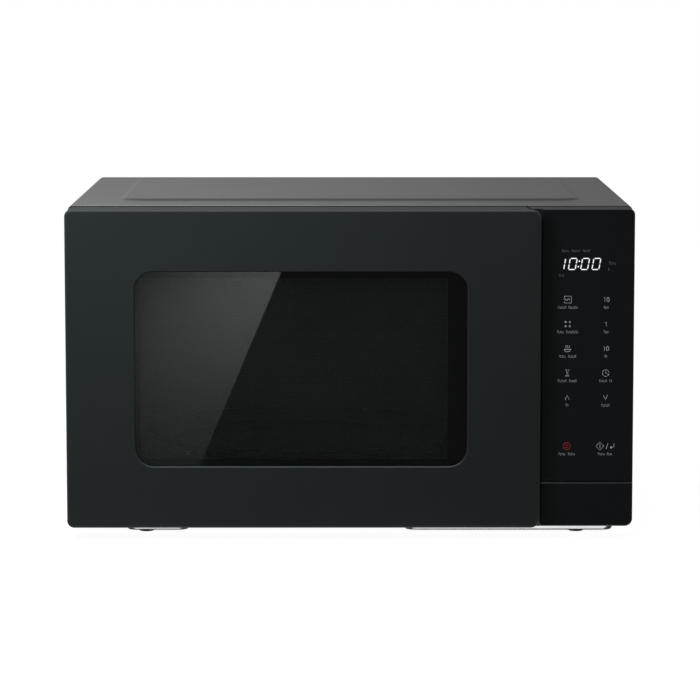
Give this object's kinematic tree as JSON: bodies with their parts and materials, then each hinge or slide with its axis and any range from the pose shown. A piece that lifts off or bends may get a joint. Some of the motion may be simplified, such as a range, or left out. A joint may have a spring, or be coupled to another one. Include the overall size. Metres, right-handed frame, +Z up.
{
  "type": "microwave oven",
  "caption": "Counter-top microwave oven: charcoal cabinet, side-hinged dark door with a window, touch panel with a push bar below that opens the door, and a glass turntable inside.",
  "frame": {"origin": "on the floor, in the middle of the oven's footprint (door face to rear bulge)", "axes": "+X to the oven's right as seen from the front, +Y to its back, +Z up; the door faces -Y"},
  "size_m": [0.485, 0.404, 0.287],
  "materials": {
    "casing_grey": "satin charcoal-grey enamel",
    "zinc_steel": "zinc-coated sheet",
    "door_black": "charcoal, satin",
    "panel_black": "black, smooth",
    "window_glass": "smoked",
    "inner_sheet": "clear sheet",
    "tray_glass": "clear",
    "cavity_enamel": "light grey enamel",
    "screen_black": "black enamel, perforated",
    "black_plastic": "moulded",
    "grey_plastic": "moulded",
    "white_plastic": "moulded",
    "foot_rubber": "moulded",
    "bright_steel": "ground",
    "spring_steel": "drawn wire",
    "aluminium_plain": "pressed",
    "core_steel": "varnished laminations",
    "copper_wire": "enamelled wire",
    "mica": "pressed mica",
    "circuit_board": "glass-fibre board",
    "lamp_glass": "clear",
    "display_dark": "smoked"
  },
  "bodies": {
    "cabinet": {"cabinet_wrap": "casing_grey", "base_plate": "zinc_steel", "feet": "foot_rubber", "rear_panel": "zinc_steel", "cord_bush": "black_plastic", "cabinet_screws": "bright_steel", "front_plate": "cavity_enamel", "oven_cavity": "cavity_enamel", "waveguide_cover": "mica", "waveguide": "zinc_steel", "magnetron_yoke": "zinc_steel", "magnetron_fins": "aluminium_plain", "magnetron_antenna": "bright_steel", "magnetron_filter_box": "zinc_steel", "transformer_core": "core_steel", "transformer_windings": "copper_wire", "hv_capacitor": "aluminium_plain", "capacitor_clamp": "zinc_steel", "hv_diode": "black_plastic", "fan_shroud": "grey_plastic", "fan_motor": "core_steel", "air_guide": "grey_plastic", "noise_filter_board": "circuit_board", "thermal_cutouts": "black_plastic", "lamp_socket": "white_plastic", "cavity_lamp": "lamp_glass", "turntable_motor": "zinc_steel", "upper_hinge": "zinc_steel", "lower_hinge": "zinc_steel", "hinge_pins": "bright_steel", "latch_board": "white_plastic", "interlock_switches": "black_plastic", "control_frame": "panel_black", "control_film": "panel_black", "display_module": "display_dark", "control_board": "circuit_board"},
    "door": {"door_panel": "door_black", "door_window": "window_glass", "choke_frame": "zinc_steel", "door_screen": "screen_black", "door_inner_sheet": "inner_sheet", "choke_cover": "black_plastic", "latch_spring": "spring_steel"},
    "latch": {"latch_hooks": "white_plastic"},
    "button": {"release_button": "panel_black"},
    "lever": {"release_lever": "white_plastic"},
    "turntable": {"turntable_tray": "tray_glass", "drive_coupler": "white_plastic", "motor_shaft": "bright_steel"},
    "ring": {"roller_ring": "white_plastic"},
    "wheel_1": {"roller_1": "white_plastic"},
    "wheel_2": {"roller_2": "white_plastic"},
    "wheel_3": {"roller_3": "white_plastic"},
    "fan": {"fan_blade": "grey_plastic", "fan_shaft": "bright_steel"}
  },
  "joints": [
    {"name": "door_swing", "type": "hinge", "parent": "cabinet", "child": "door", "pos_m": [-0.2325, -0.1755, 0.148], "axis": [0, 0, -1], "range_deg": [0, 95]},
    {"name": "button_press", "type": "slide", "parent": "cabinet", "child": "button", "axis": [0, 1, 0], "range_m": [0, 0.005], "stiffness_N_per_m": 800, "springref_m": -0.004},
    {"name": "lever_tilt", "type": "hinge", "parent": "cabinet", "child": "lever", "pos_m": [0.165, -0.1569, 0.05035], "axis": [1, 0, 0], "range_deg": [0, 15]},
    {"name": "latch_lift", "type": "slide", "parent": "door", "child": "latch", "axis": [0, 0, 1], "range_m": [0, 0.004], "deforming": ["latch_spring"]},
    {"name": "turntable_spin", "type": "hinge", "parent": "cabinet", "child": "turntable", "pos_m": [-0.0417, 0.007, 0.046], "axis": [0, 0, 1], "continuous": true},
    {"name": "ring_spin", "type": "hinge", "parent": "cabinet", "child": "ring", "pos_m": [-0.0417, 0.007, 0.046], "axis": [0, 0, 1], "continuous": true},
    {"name": "fan_spin", "type": "hinge", "parent": "cabinet", "child": "fan", "pos_m": [0.1854, 0.15, 0.171], "axis": [0, 1, 0], "continuous": true},
    {"name": "wheel_1_spin", "type": "hinge", "parent": "ring", "child": "wheel_1", "pos_m": [-0.0417, 0.117, 0.0463], "axis": [0, 1, 0], "continuous": true},
    {"name": "wheel_2_spin", "type": "hinge", "parent": "ring", "child": "wheel_2", "pos_m": [-0.13696, -0.048, 0.0463], "axis": [-0.866, -0.5, 0], "continuous": true},
    {"name": "wheel_3_spin", "type": "hinge", "parent": "ring", "child": "wheel_3", "pos_m": [0.05356, -0.048, 0.0463], "axis": [0.866, -0.5, 0], "continuous": true}
  ],
  "couplings": [
    {"joint": "lever_tilt", "follows": "button_press", "rad_per_m": 52.36},
    {"joint": "latch_lift", "follows": "button_press", "ratio": 0.8},
    {"joint": "ring_spin", "follows": "turntable_spin", "ratio": 0.5},
    {"joint": "wheel_1_spin", "follows": "turntable_spin", "ratio": -7.8571},
    {"joint": "wheel_2_spin", "follows": "turntable_spin", "ratio": -7.8571},
    {"joint": "wheel_3_spin", "follows": "turntable_spin", "ratio": -7.8571}
  ]
}
